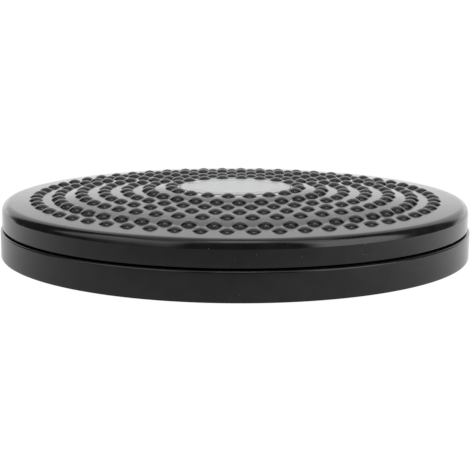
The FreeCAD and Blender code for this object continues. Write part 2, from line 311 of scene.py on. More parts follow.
@dataclass(frozen=True)
class Crown:
    """The platform's top surface: a shallow cone with two rounded steps up to the centre.

    Attributes:
        land: The height of the land's outer edge.
        edge: The radius of that edge.
        centre: The radius inside which the top is level.
        slope_degrees: The cone's angle.
        outer_step: The step between the land and the middle rings of bumps.
        centre_step: The step up to the centre.
    """

    land: float = 31.85 * MM
    edge: float = 134.241 * MM
    centre: float = 33.4 * MM
    slope_degrees: float = 1.95
    outer_step: RoundedStep = RoundedStep(87.5 * MM, 19.7 * MM, 1.75 * MM)
    centre_step: RoundedStep = RoundedStep(42.5 * MM, 10.55 * MM, 0.97 * MM)

    @property
    def slope(self) -> float:
        """How fast the cone climbs inward."""
        return math.tan(math.radians(self.slope_degrees))

    @property
    def steps(self) -> tuple[RoundedStep, RoundedStep]:
        """Both steps, the outer one first."""
        return self.outer_step, self.centre_step

    @property
    def top(self) -> float:
        """The height of the centre."""
        return self.height(0.0)

    def height(self, radius: float) -> float:
        """Gives the surface's height.

        Args:
            radius: The distance from the disc's axis.

        Returns:
            The height over the floor.
        """
        inward = self.edge - max(radius, self.centre)
        return self.land + sum(step.height(radius) for step in self.steps) + self.slope * inward

    def inputs(self) -> dict[str, float]:
        """Gives the named inputs that a tree needs to follow the crown."""
        values = {"Land Height": self.land, "Land Edge": self.edge}
        values |= {"Level Radius": self.centre, "Slope": self.slope}
        for label, step in zip(("Outer", "Centre"), self.steps):
            values[f"{label} Top"] = step.top
            values[f"{label} Run"] = step.run
            values[f"{label} Rise"] = step.rise
        return values


def rounded_step_tree() -> bpy.types.NodeTree:
    """Makes the group that gives one rounded step's height at a radius.

    Returns:
        The group.
    """
    sizes = {"Radius": FLOAT, "Top": FLOAT, "Run": FLOAT, "Rise": FLOAT}
    bench, given, result = new_tree("rounded_step", "GeometryNodeTree", sizes, {"Height": FLOAT})
    square_run = bench.math("MULTIPLY", given["Run"], given["Run"])
    squares = bench.math("MULTIPLY_ADD", given["Rise"], given["Rise"], square_run)
    arc = bench.math("DIVIDE", squares, bench.math("MULTIPLY", given["Rise"], 2.0))
    reach = bench.math("MAXIMUM", bench.math("SUBTRACT", given["Radius"], given["Top"]), 0.0)
    reach = bench.math("MINIMUM", reach, given["Run"])
    under = bench.math("SUBTRACT", bench.math("MULTIPLY", arc, arc), bench.math("MULTIPLY", reach, reach))
    height = bench.math("ADD", bench.math("SUBTRACT", given["Rise"], arc), bench.math("SQRT", under))
    bench.tree.links.new(height, result["Height"])
    return bench.tree


def crown_height(bench: Bench, given: dict, step_tree: bpy.types.NodeTree) -> bpy.types.NodeSocket:
    """Adds the nodes that give the crown's height under each point.

    Args:
        bench: The tree's bench.
        given: The tree's inputs, with the crown's among them.
        step_tree: The rounded step's group.

    Returns:
        The height's socket.
    """
    x, y, _ = bench.split(bench.node("GeometryNodeInputPosition").outputs[0])
    radius = bench.length(x, y)
    height = given["Land Height"]
    for label in ("Outer", "Centre"):
        sizes = {"Radius": radius, "Top": given[f"{label} Top"], "Run": given[f"{label} Run"]}
        sizes["Rise"] = given[f"{label} Rise"]
        step = bench.node("GeometryNodeGroup", node_tree=step_tree)
        for key, socket in sizes.items():
            bench.tree.links.new(socket, step.inputs[key])
        height = bench.math("ADD", height, step.outputs[0])
    inward = bench.math("SUBTRACT", given["Land Edge"], bench.math("MAXIMUM", radius, given["Level Radius"]))
    return bench.math("MULTIPLY_ADD", inward, given["Slope"], height)


def set_around_tree() -> bpy.types.NodeTree:
    """Makes the tree that repeats a shape evenly about the disc's axis.

    Returns:
        The tree.
    """
    sizes = {"Geometry": SHAPE, "Count": WHOLE, "Phase": FLOAT, "Material": FINISH}
    bench, given, result = new_tree("set_around", "GeometryNodeTree", sizes, {"Geometry": SHAPE})
    step = bench.math("DIVIDE", math.tau, given["Count"])
    index = bench.node("GeometryNodeInputIndex").outputs[0]
    turn = bench.joined(z=bench.math("MULTIPLY_ADD", index, step, given["Phase"]))
    places = {"Points": bench.spots(given["Count"]), "Instance": given["Geometry"], "Rotation": turn}
    copies = bench.node("GeometryNodeInstanceOnPoints", places)
    real = bench.node("GeometryNodeRealizeInstances", {0: copies.outputs[0]})
    dressed = bench.node("GeometryNodeSetMaterial", {0: real.outputs[0], "Material": given["Material"]})
    bench.tree.links.new(dressed.outputs[0], result["Geometry"])
    return bench.tree


def rib_web_tree(step_tree: bpy.types.NodeTree) -> bpy.types.NodeTree:
    """Makes the tree of upright rings and spokes that stiffens a moulding.

    Args:
        step_tree: The rounded step's group.

    Returns:
        The tree. Its ribs reach a level top, or follow the crown at a depth.
    """
    sizes = {"Geometry": SHAPE, "Inner Radius": FLOAT, "Outer Radius": FLOAT, "Bottom": FLOAT, "Top": FLOAT}
    sizes |= {"Wall": FLOAT, "Ring Count": WHOLE, "Spoke Count": WHOLE, "Follow Crown": FLOAT, "Depth": FLOAT}
    sizes |= {name: FLOAT for name in Crown().inputs()} | {"Material": FINISH}
    bench, given, result = new_tree("rib_web", "GeometryNodeTree", sizes, {"Geometry": SHAPE})
    link = bench.tree.links.new
    index = bench.node("GeometryNodeInputIndex").outputs[0]
    span = bench.math("SUBTRACT", given["Outer Radius"], given["Inner Radius"])
    tall = bench.math("SUBTRACT", given["Top"], given["Bottom"])
    middle = bench.math("MULTIPLY_ADD", tall, 0.5, given["Bottom"])

    size = bench.joined(bench.math("ADD", span, given["Wall"]), given["Wall"], tall)
    panel = bench.node("GeometryNodeMeshCube", {"Size": size, "Vertices X": SPOKE_POINTS})
    place = bench.joined(bench.math("MULTIPLY_ADD", span, 0.5, given["Inner Radius"]), 0.0, middle)
    panel = bench.node("GeometryNodeTransform", {"Geometry": panel.outputs[0], "Translation": place})
    hub = bench.spots(given["Spoke Count"])
    turn = bench.math("MULTIPLY", index, bench.math("DIVIDE", math.tau, given["Spoke Count"]))
    spokes = {"Points": hub, "Instance": panel.outputs[0], "Rotation": bench.joined(z=turn)}
    spokes = bench.node("GeometryNodeInstanceOnPoints", spokes)

    pitch = bench.math("DIVIDE", span, bench.math("ADD", given["Ring Count"], 1.0))
    first = bench.math("ADD", given["Inner Radius"], pitch)
    radius = bench.math("MULTIPLY_ADD", index, pitch, first)
    scale = bench.joined(radius, radius, 1.0)
    circle = bench.node("GeometryNodeCurvePrimitiveCircle", {"Resolution": RING_FACES, "Radius": 1.0})
    rings = {"Points": bench.spots(given["Ring Count"]), "Instance": circle.outputs[0], "Scale": scale}
    rings = bench.node("GeometryNodeInstanceOnPoints", rings)
    rings = bench.node("GeometryNodeRealizeInstances", {0: rings.outputs[0]})
    section = bench.node("GeometryNodeCurvePrimitiveQuadrilateral", {"Width": given["Wall"], "Height": tall})
    rings = {"Curve": rings.outputs[0], "Profile Curve": section.outputs[0], "Fill Caps": False}
    rings = bench.node("GeometryNodeCurveToMesh", rings)
    rings = {"Geometry": rings.outputs[0], "Translation": bench.joined(z=middle)}
    rings = bench.node("GeometryNodeTransform", rings)

    web = bench.node("GeometryNodeJoinGeometry")
    link(spokes.outputs[0], web.inputs[0])
    link(rings.outputs[0], web.inputs[0])
    web = bench.node("GeometryNodeRealizeInstances", {0: web.outputs[0]})
    x, y, z = bench.split(bench.node("GeometryNodeInputPosition").outputs[0])
    roof = bench.math("SUBTRACT", crown_height(bench, given, step_tree), given["Depth"])
    upper = bench.math("MULTIPLY", bench.math("GREATER_THAN", z, middle), given["Follow Crown"])
    lift = bench.joined(z=bench.math("MULTIPLY", upper, bench.math("SUBTRACT", roof, z)))
    fitted = bench.node("GeometryNodeSetPosition", {"Geometry": web.outputs[0], "Offset": lift})
    both = bench.node("GeometryNodeJoinGeometry")
    link(fitted.outputs[0], both.inputs[0])
    link(given["Geometry"], both.inputs[0])
    dressed = bench.node("GeometryNodeSetMaterial", {0: both.outputs[0], "Material": given["Material"]})
    link(dressed.outputs[0], result["Geometry"])
    return bench.tree


def grown(piece: bpy.types.Object, tree: bpy.types.NodeTree, values: dict[str, object]) -> None:
    """Runs a geometry tree on a piece and keeps its result as the piece's plain mesh.

    Args:
        piece: The piece that the tree starts from.
        tree: The tree.
        values: Its inputs by name.
    """
    modifier = piece.modifiers.new(tree.name, "NODES")
    modifier.node_group = tree
    for item in tree.interface.items_tree:
        if item.in_out == "INPUT" and item.name in values:
            modifier[item.identifier] = values[item.name]
    depsgraph = bpy.context.evaluated_depsgraph_get()
    mesh = bpy.data.meshes.new_from_object(piece.evaluated_get(depsgraph), depsgraph=depsgraph)
    piece.modifiers.remove(modifier)
    piece.data = mesh
    mesh.name = piece.name


def arc_points(centre: Point, radius: float, start: float, end: float, steps: int) -> list[Point]:
    """Gives points along an arc of a turned outline.

    Args:
        centre: The arc's centre.
        radius: Its radius.
        start: Its first angle in degrees, from the outward direction upwards.
        end: Its last angle.
        steps: How many pieces it has.

    Returns:
        Its points, both ends among them.
    """
    angles = [math.radians(start + (end - start) * step / steps) for step in range(steps + 1)]
    return [(centre[0] + radius * math.cos(a), centre[1] + radius * math.sin(a)) for a in angles]


def even_points(start: Point, end: Point, steps: int) -> list[Point]:
    """Gives evenly spaced points between two ends, without the ends.

    Args:
        start: The first end.
        end: The other end.
        steps: How many pieces the stretch has.

    Returns:
        The points between.
    """
    shares = [step / steps for step in range(1, steps)]
    return [(start[0] + (end[0] - start[0]) * s, start[1] + (end[1] - start[1]) * s) for s in shares]


def placed(name: str, data: bpy.types.ID) -> bpy.types.Object:
    """Makes an object and puts it in the scene.

    Args:
        name: The object's name.
        data: Its mesh or camera.

    Returns:
        The object, at the origin.
    """
    made = bpy.data.objects.new(name, data)
    bpy.context.scene.collection.objects.link(made)
    return made


def new_piece(name: str, shell: bmesh.types.BMesh, finish: bpy.types.Material) -> bpy.types.Object:
    """Turns a built shell into a smooth piece with crisp edges where it bends hard.

    Args:
        name: The piece's name.
        shell: The shell, which is freed.
        finish: Its material.

    Returns:
        The piece, at the origin.
    """
    bmesh.ops.recalc_face_normals(shell, faces=shell.faces)
    mesh = bpy.data.meshes.new(name)
    shell.to_mesh(mesh)
    shell.free()
    mesh.shade_smooth()
    mesh.set_sharp_from_angle(angle=CRISP_ANGLE)
    mesh.materials.append(finish)
    return placed(name, mesh)


def turned(
    name: str, outline: list[Point], segments: int, finish: bpy.types.Material, at: Point = (0.0, 0.0)
) -> bpy.types.Object:
    """Turns an outline about an upright axis.

    Args:
        name: The piece's name.
        outline: Its section as radii and heights, a loop, or open between two points on the axis.
        segments: How many faces go round.
        finish: Its material.
        at: Where the upright axis stands.

    Returns:
        The closed piece.
    """
    shell = bmesh.new()
    turns = [math.tau * step / segments for step in range(segments)]
    rings = []
    for radius, height in outline:
        if radius <= 0.0:
            rings.append([shell.verts.new((at[0], at[1], height))])
            continue
        spots = [(at[0] + radius * math.cos(t), at[1] + radius * math.sin(t), height) for t in turns]
        rings.append([shell.verts.new(spot) for spot in spots])
    closed = outline[0][0] > 0.0 and outline[-1][0] > 0.0
    pairs = list(zip(rings, rings[1:] + rings[:1])) if closed else list(zip(rings, rings[1:]))
    for lower, upper in pairs:
        for step in range(segments):
            ahead = (step + 1) % segments
            corners = [lower[step % len(lower)], lower[ahead % len(lower)]]
            corners += [upper[ahead % len(upper)], upper[step % len(upper)]]
            shell.faces.new(list(dict.fromkeys(corners)))
    return new_piece(name, shell, finish)


def joined_piece(name: str, pieces: list[bpy.types.Object]) -> bpy.types.Object:
    """Joins several pieces into one mesh.

    Args:
        name: The new piece's name.
        pieces: The pieces, which are used up. They share one finish.

    Returns:
        The joined piece.
    """
    shell = bmesh.new()
    for piece in pieces:
        shell.from_mesh(piece.data)
    mesh = bpy.data.meshes.new(name)
    shell.to_mesh(mesh)
    shell.free()
    mesh.materials.append(pieces[0].data.materials[0])
    for piece in pieces:
        bpy.data.objects.remove(piece)
    return placed(name, mesh)


def settle(piece: bpy.types.Object, body: Body, slot: Slot, *nodes: str) -> None:
    """Makes a piece ride on its body and stand for its nodes, and reports it.

    Args:
        piece: The finished piece.
        body: The body that it rides on.
        slot: The record's slot of its finish. Not used.
        *nodes: The nodes that it stands for.
    """
    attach(piece, body.value)
    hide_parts(*nodes)
    LOG.info("%s: %d faces on %s", piece.name, len(piece.data.polygons), body.value)


class Effects:
    """The shared effects that the finishes place with their own values.

    Attributes:
        TONE_RANGE: The stretch of the slow noise that turns the tone from first to second.
        DRIFT_SCALE: How many clouds of dust fit in a metre.
        DRIFT_RANGE: The stretch of that noise over which dust grows from none to full.
        SPECK_REACH: A speck's size, as a share of its cell.
        ANGLE_SCALE: The radius in metres at which a hairline has the length it is given.
        LINE_FADE: How softly a hairline's sides fade.
        SCUFF_SCALE: How many scuffs fit in a metre.
        SCUFF_RANGE: The stretch of that noise over which a scuff shows.
    """

    TONE_RANGE = (0.3, 0.7)
    DRIFT_SCALE = 22.0
    DRIFT_RANGE = (0.35, 0.75)
    SPECK_REACH = 0.42
    ANGLE_SCALE = 0.1
    LINE_FADE = 0.12
    SCUFF_SCALE = 260.0
    SCUFF_RANGE = (0.45, 0.7)

    def __init__(self) -> None:
        """Builds every effect's node group once."""
        self.mottle = self._mottle()
        self.speckle = self._speckle()
        self.hairlines = self._hairlines()
        self.rim_wear = self._rim_wear()

    def _mottle(self) -> bpy.types.NodeTree:
        """Makes the slow unevenness of a moulded or cast surface, with a fine grain on it.

        Returns:
            The group, which puts out a tone and a height.
        """
        sizes = {"Size": FLOAT, "Grain Size": FLOAT, "Grain Share": FLOAT}
        bench, given, result = new_tree("mottle", "ShaderNodeTree", sizes, {"Tone": FLOAT, "Height": FLOAT})
        place = bench.place()
        slow = bench.noise(place, bench.math("DIVIDE", 1.0, given["Size"]), 2.0)
        fine = bench.noise(place, bench.math("DIVIDE", 1.0, given["Grain Size"]), 3.0)
        height = bench.math("MULTIPLY", slow, bench.math("SUBTRACT", 1.0, given["Grain Share"]))
        height = bench.math("MULTIPLY_ADD", fine, given["Grain Share"], height)
        bench.tree.links.new(bench.spread(slow, *self.TONE_RANGE), result["Tone"])
        bench.tree.links.new(height, result["Height"])
        return bench.tree

    def _speckle(self) -> bpy.types.NodeTree:
        """Makes fine specks of dust, thicker in some places than in others.

        Returns:
            The group, which puts out a mask.
        """
        sizes = {"Size": FLOAT, "Amount": FLOAT}
        bench, given, result = new_tree("speckle", "ShaderNodeTree", sizes, {"Mask": FLOAT})
        place = bench.place()
        scale = bench.math("DIVIDE", 1.0, given["Size"])
        cells = bench.node("ShaderNodeTexVoronoi", {"Vector": place, "Scale": scale})
        chance = bench.split(cells.outputs["Color"])[0]
        drift = bench.noise(place, self.DRIFT_SCALE, 3.0)
        limit = bench.math("MULTIPLY", given["Amount"], bench.spread(drift, *self.DRIFT_RANGE))
        chosen = bench.math("LESS_THAN", chance, limit)
        speck = bench.spread(cells.outputs["Distance"], 0.0, self.SPECK_REACH, 1.0, 0.0)
        bench.tree.links.new(bench.math("MULTIPLY", chosen, speck), result["Mask"])
        return bench.tree

    def _hairlines(self) -> bpy.types.NodeTree:
        """Makes fine lines that run round the disc's axis, as wiping, turning and brushing leave them.

        Returns:
            The group, which puts out a mask.
        """
        sizes = {"Line Width": FLOAT, "Line Length": FLOAT, "Cover": FLOAT}
        bench, given, result = new_tree("hairlines", "ShaderNodeTree", sizes, {"Mask": FLOAT})
        x, y, z = bench.split(bench.place())
        across = bench.math("DIVIDE", bench.length(x, y), given["Line Width"])
        upright = bench.math("DIVIDE", z, given["Line Width"])
        angle = bench.math("ABSOLUTE", bench.math("ARCTAN2", y, x))
        along = bench.math("DIVIDE", bench.math("MULTIPLY", angle, self.ANGLE_SCALE), given["Line Length"])
        noise = bench.noise(bench.joined(across, along, upright), 1.0, 2.0)
        edge = bench.math("SUBTRACT", 1.0, given["Cover"])
        mask = bench.spread(noise, edge, bench.math("ADD", edge, self.LINE_FADE))
        bench.tree.links.new(mask, result["Mask"])
        return bench.tree

    def _rim_wear(self) -> bpy.types.NodeTree:
        """Makes the rubbed band along one round edge.

        Returns:
            The group, which puts out a mask.
        """
        sizes = {"Edge Radius": FLOAT, "Edge Height": FLOAT, "Reach": FLOAT}
        bench, given, result = new_tree("rim_wear", "ShaderNodeTree", sizes, {"Mask": FLOAT})
        place = bench.place()
        x, y, z = bench.split(place)
        aside = bench.math("SUBTRACT", bench.length(x, y), given["Edge Radius"])
        above = bench.math("SUBTRACT", z, given["Edge Height"])
        band = bench.spread(bench.length(aside, above), 0.0, given["Reach"], 1.0, 0.0)
        scuffs = bench.spread(bench.noise(place, self.SCUFF_SCALE, 4.0), *self.SCUFF_RANGE)
        bench.tree.links.new(bench.math("MULTIPLY", band, scuffs), result["Mask"])
        return bench.tree


@dataclass(frozen=True)
class Finish:
    """A procedural finish: a base colour and gloss, varied by mottle, dust, hairlines and rim wear.

    Attributes:
        slot: The record's slot that it dresses.
        colour: The main colour.
        second: The colour that the mottle brings in.
        roughness: The gloss at its smoothest.
        unevenness: How much the mottle adds to the roughness.
        metallic: One for bare metal.
        mottle: Sizes of the slow unevenness and of the grain, and the grain's share.
        relief: How high the mottle stands, in metres.
        dust: The size and the amount of specks.
        lines: The width, length and cover of hairlines.
        line_roughness: How much a hairline adds to the roughness.
        rim: The radius, height and reach of a worn edge.
        ior: The index of refraction.
        dust_colour: The colour of dust.
        dust_tint: How much of its colour a speck brings in.
        dust_roughness: How much a speck adds to the roughness.
        wear_roughness: How much wear adds to the roughness.
    """

    slot: Slot
    colour: Colour
    second: Colour
    roughness: float
    unevenness: float = 0.05
    metallic: float = 0.0
    mottle: tuple[float, float, float] = (9.0 * MM, 0.6 * MM, 0.2)
    relief: float = 0.01 * MM
    dust: tuple[float, float] = (0.9 * MM, 0.05)
    lines: tuple[float, float, float] = (0.12 * MM, 6.0 * MM, 0.3)
    line_roughness: float = 0.04
    rim: tuple[float, float, float] = (0.0, 0.0, 1.0 * MM)
    ior: float = 1.5
    dust_colour: Colour = (0.42, 0.41, 0.39, 1.0)
    dust_tint: float = 0.5
    dust_roughness: float = 0.4
    wear_roughness: float = 0.12

    def material(self, effects: Effects) -> bpy.types.Material:
        """Builds the finish.

        Args:
            effects: The shared effects.

        Returns:
            The material.
        """
        made = bpy.data.materials.new(self.slot.value)
        made.use_nodes = True
        bench = Bench(made.node_tree)
        bench.tree.nodes.clear()
        mottle = self._effect(bench, effects.mottle, ("Size", "Grain Size", "Grain Share"), self.mottle)
        dust = self._effect(bench, effects.speckle, ("Size", "Amount"), self.dust).outputs[0]
        names = ("Line Width", "Line Length", "Cover")
        lines = self._effect(bench, effects.hairlines, names, self.lines).outputs[0]
        names = ("Edge Radius", "Edge Height", "Reach")
        wear = self._effect(bench, effects.rim_wear, names, self.rim).outputs[0]
        tone = bench.blend(mottle.outputs["Tone"], self.colour, self.second)
        tone = bench.blend(bench.math("MULTIPLY", dust, self.dust_tint), tone, self.dust_colour)
        rough = bench.math("MULTIPLY_ADD", mottle.outputs["Tone"], self.unevenness, self.roughness)
        rough = bench.math("MULTIPLY_ADD", lines, self.line_roughness, rough)
        rough = bench.math("MULTIPLY_ADD", wear, self.wear_roughness, rough)
        rough = bench.math("MULTIPLY_ADD", dust, self.dust_roughness, rough)
        bump = {"Height": mottle.outputs["Height"], "Distance": self.relief, "Strength": 1.0}
        bump = bench.node("ShaderNodeBump", bump)
        shader = {"Base Color": tone, "Roughness": rough, "Normal": bump.outputs[0]}
        shader |= {"Metallic": self.metallic, "IOR": self.ior}
        surface = bench.node("ShaderNodeBsdfPrincipled", shader)
        bench.node("ShaderNodeOutputMaterial", {"Surface": surface.outputs[0]})
        return made

    @staticmethod
    def _effect(bench: Bench, tree: bpy.types.NodeTree, names: tuple, values: tuple) -> bpy.types.Node:
        """Places a shared effect.

        Args:
            bench: The material's bench.
            tree: The effect's group.
            names: Its inputs.
            values: Their values.

        Returns:
            The group's node.
        """
        return bench.node("ShaderNodeGroup", dict(zip(names, values)), node_tree=tree)


@dataclass
class Workshop:
    """The trees, finishes and shared sizes that every sub-assembly draws on.

    Attributes:
        effects: The shared effects.
        step_tree: The group of one rounded step of the crown.
        around: The tree that repeats a shape about the axis.
        finishes: Every finish's material by its slot.
        boss_radius: The radius of a boss for one of the race's screws.
        boss_count: How many such bosses each half has.
        boss_degrees: The first boss's turn.
    """

    effects: Effects = field(default_factory=Effects)
    step_tree: bpy.types.NodeTree = field(default_factory=rounded_step_tree)
    around: bpy.types.NodeTree = field(default_factory=set_around_tree)
    finishes: dict = field(default_factory=dict)
    boss_radius: float = 4.0 * MM
    boss_count: int = 6
    boss_degrees: float = 15.0

    def __post_init__(self) -> None:
        """Builds the tree that needs the step's group, and every finish."""
        self.rib_web = rib_web_tree(self.step_tree)
        for finish in self._finishes():
            self.finishes[finish.slot] = finish.material(self.effects)

    @staticmethod
    def _finishes() -> list[Finish]:
        """Lists the finishes of every slot."""
        return [
            Finish(
                Slot.GLOSS, (0.012, 0.012, 0.0122, 1.0), (0.017, 0.017, 0.0172, 1.0), 0.085,
                relief=0.012 * MM, dust=(0.8 * MM, 0.012), rim=(137.0 * MM, 30.7 * MM, 3.0 * MM),
            ),
            Finish(Slot.SATIN, (0.02, 0.02, 0.02, 1.0), (0.028, 0.028, 0.028, 1.0), 0.4),
            Finish(
                Slot.RUBBER, (0.022, 0.022, 0.022, 1.0), (0.036, 0.035, 0.034, 1.0), 0.72,
                relief=0.05 * MM, dust=(0.5 * MM, 0.2), lines=(0.3 * MM, 3.0 * MM, 0.1),
            ),
            Finish(
                Slot.RACE, (0.5, 0.5, 0.5, 1.0), (0.58, 0.58, 0.57, 1.0), 0.24, metallic=1.0,
                lines=(0.08 * MM, 14.0 * MM, 0.55), line_roughness=0.14, dust=(0.5 * MM, 0.0),
            ),
            Finish(
                Slot.ZINC, (0.6, 0.6, 0.58, 1.0), (0.68, 0.66, 0.58, 1.0), 0.3, metallic=1.0,
                mottle=(3.0 * MM, 0.3 * MM, 0.5), relief=0.02 * MM, dust=(0.5 * MM, 0.0),
            ),
            Finish(
                Slot.BALL, (0.72, 0.72, 0.73, 1.0), (0.78, 0.78, 0.78, 1.0), 0.06, metallic=1.0,
                relief=0.001 * MM, dust=(0.5 * MM, 0.0),
            ),
            Finish(
                Slot.NYLON, (0.78, 0.76, 0.7, 1.0), (0.84, 0.83, 0.78, 1.0), 0.42,
                mottle=(4.0 * MM, 0.4 * MM, 0.4), relief=0.02 * MM, dust=(0.5 * MM, 0.02),
            ),
            Finish(
                Slot.PLATE, (0.5, 0.504, 0.508, 1.0), (0.57, 0.574, 0.578, 1.0), 0.3, metallic=1.0,
                lines=(0.1 * MM, 9.0 * MM, 0.5), line_roughness=0.08, dust=(0.6 * MM, 0.02),
                rim=(33.4 * MM, 38.1 * MM, 1.2 * MM),
            ),
        ]

    def repeat(self, piece: bpy.types.Object, count: int, phase: float, slot: Slot) -> None:
        """Repeats a piece about the disc's axis.

        Args:
            piece: The piece, at its first place.
            count: How many there are.
            phase: The first one's turn, in radians.
            slot: The slot of its finish.
        """
        grown(piece, self.around, {"Count": count, "Phase": phase, "Material": self.finishes[slot]})

    def screw_bosses(self, circle: float, bottom: float, top: float) -> bpy.types.Object:
        """Builds the round bosses that the race's screws go into.

        Args:
            circle: The radius of their circle.
            bottom: The height of their lower ends.
            top: The height of their upper ends.

        Returns:
            All of them as one piece.
        """
        outline = [(0.0, bottom), (self.boss_radius, bottom), (self.boss_radius, top), (0.0, top)]
        bosses = turned("screw_bosses", outline, BOSS_FACES, self.finishes[Slot.GLOSS], (circle, 0.0))
        self.repeat(bosses, self.boss_count, math.radians(self.boss_degrees), Slot.GLOSS)
        return bosses

    def dress_nodes(self, slot: Slot, *nodes: str) -> None:
        """Gives a finish to nodes that keep their own shape.

        Args:
            slot: The slot of the finish.
            *nodes: The nodes.
        """
        for node in nodes:
            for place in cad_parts[node].material_slots:
                place.material = self.finishes[slot]
            LOG.info("%s: dressed in %s", node, slot.value)


@dataclass
class Bump:
    """One massage bump: a low dome whose ball form goes on into the deck.

    Attributes:
        base_radius: The dome's radius where it would meet a level deck.
        height: How high it stands.
        root: How deep it is rooted.
        segments: How many faces go round.
        bands: How many bands of faces the dome has.
    """

    base_radius: float = 4.3 * MM
    height: float = 1.8 * MM
    root: float = 1.2 * MM
    segments: int = 20
    bands: int = 5

    def outline(self, seat: float) -> list[Point]:
        """Gives the bump's section from its top to the middle of its root.

        Args:
            seat: The height that it stands at.

        Returns:
            The section's points.
        """
        sphere = (self.base_radius ** 2 + self.height ** 2) / (2 * self.height)
        centre = seat + self.height - sphere
        reach = math.acos((seat - self.root - centre) / sphere)
        angles = [reach * band / self.bands for band in range(self.bands + 1)]
        dome = [(sphere * math.sin(a), centre + sphere * math.cos(a)) for a in angles]
        return dome + [(0.0, seat - self.root)]


@dataclass
class BumpField:
    """The rings of bumps on the crown.

    Attributes:
        bump: The bump that all rings repeat.
        ring_count: How many rings there are.
        outer_count: How many bumps the outermost ring has.
        count_step: How many fewer each further ring has.
        outer_radius: The outermost ring's radius.
        pitch: The distance between rings.
        seat_inset: How far inside its circle the crown gives a ring its height.
        phase_degrees: The turn from +X of the radial line that every ring starts from.
    """

    bump: Bump = field(default_factory=Bump)
    ring_count: int = 7
    outer_count: int = 56
    count_step: int = 6
    outer_radius: float = 118.9 * MM
    pitch: float = 13.37 * MM
    seat_inset: float = 2.0 * MM
    phase_degrees: float = 30.2 - 90.0

    def build(self, shop: Workshop, crown: Crown) -> bpy.types.Object:
        """Builds every ring, seated on the crown.

        Args:
            shop: The trees and finishes.
            crown: The surface that carries them.

        Returns:
            All bumps as one piece.
        """
        finish, rings = shop.finishes[Slot.GLOSS], []
        for row in range(self.ring_count):
            radius = self.outer_radius - row * self.pitch
            outline = self.bump.outline(crown.height(radius - self.seat_inset))
            ring = turned("bump_ring", outline, self.bump.segments, finish, (radius, 0.0))
            count = self.outer_count - row * self.count_step
            shop.repeat(ring, count, math.radians(self.phase_degrees), Slot.GLOSS)
            rings.append(ring)
        return joined_piece("bump_rings", rings)


